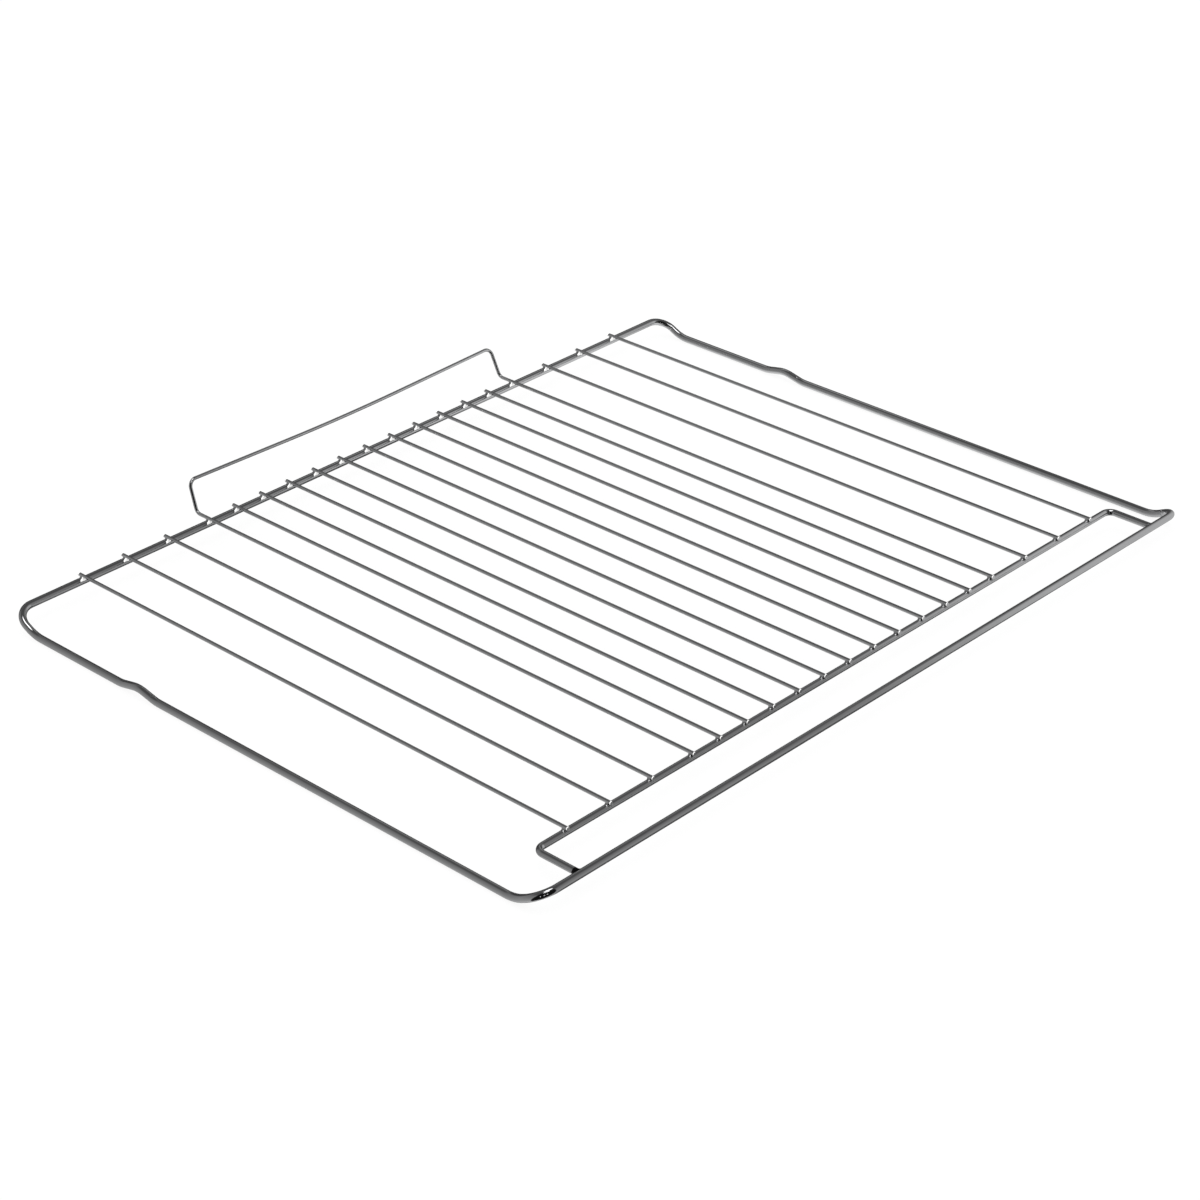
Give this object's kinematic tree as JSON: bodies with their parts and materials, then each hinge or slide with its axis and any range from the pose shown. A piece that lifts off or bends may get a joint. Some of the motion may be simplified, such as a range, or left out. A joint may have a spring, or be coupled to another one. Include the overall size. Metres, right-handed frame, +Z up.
{
  "type": "oven shelf rack",
  "caption": "Welded wire oven shelf: bent rectangular frame with lowered side rails, inner front bar, grid of thin rods and a raised rear guard.",
  "frame": {"origin": "middle of the footprint, on the surface that the side rails rest on", "axes": "+X along the front bar to the right, +Y from the front bar to the rear guard, +Z up"},
  "size_m": [0.463, 0.3708, 0.0287],
  "materials": {
    "chrome_plated_steel": "bright plated"
  },
  "bodies": {
    "root": {"grid_rod_01": "chrome_plated_steel", "grid_rod_02": "chrome_plated_steel", "grid_rod_03": "chrome_plated_steel", "grid_rod_04": "chrome_plated_steel", "grid_rod_05": "chrome_plated_steel", "grid_rod_06": "chrome_plated_steel", "grid_rod_07": "chrome_plated_steel", "grid_rod_08": "chrome_plated_steel", "grid_rod_09": "chrome_plated_steel", "grid_rod_10": "chrome_plated_steel", "grid_rod_11": "chrome_plated_steel", "grid_rod_12": "chrome_plated_steel", "grid_rod_13": "chrome_plated_steel", "grid_rod_14": "chrome_plated_steel", "grid_rod_15": "chrome_plated_steel", "grid_rod_16": "chrome_plated_steel", "grid_rod_17": "chrome_plated_steel", "inner_front_bar": "chrome_plated_steel", "outer_frame": "chrome_plated_steel", "rear_guard": "chrome_plated_steel"}
  },
  "joints": []
}
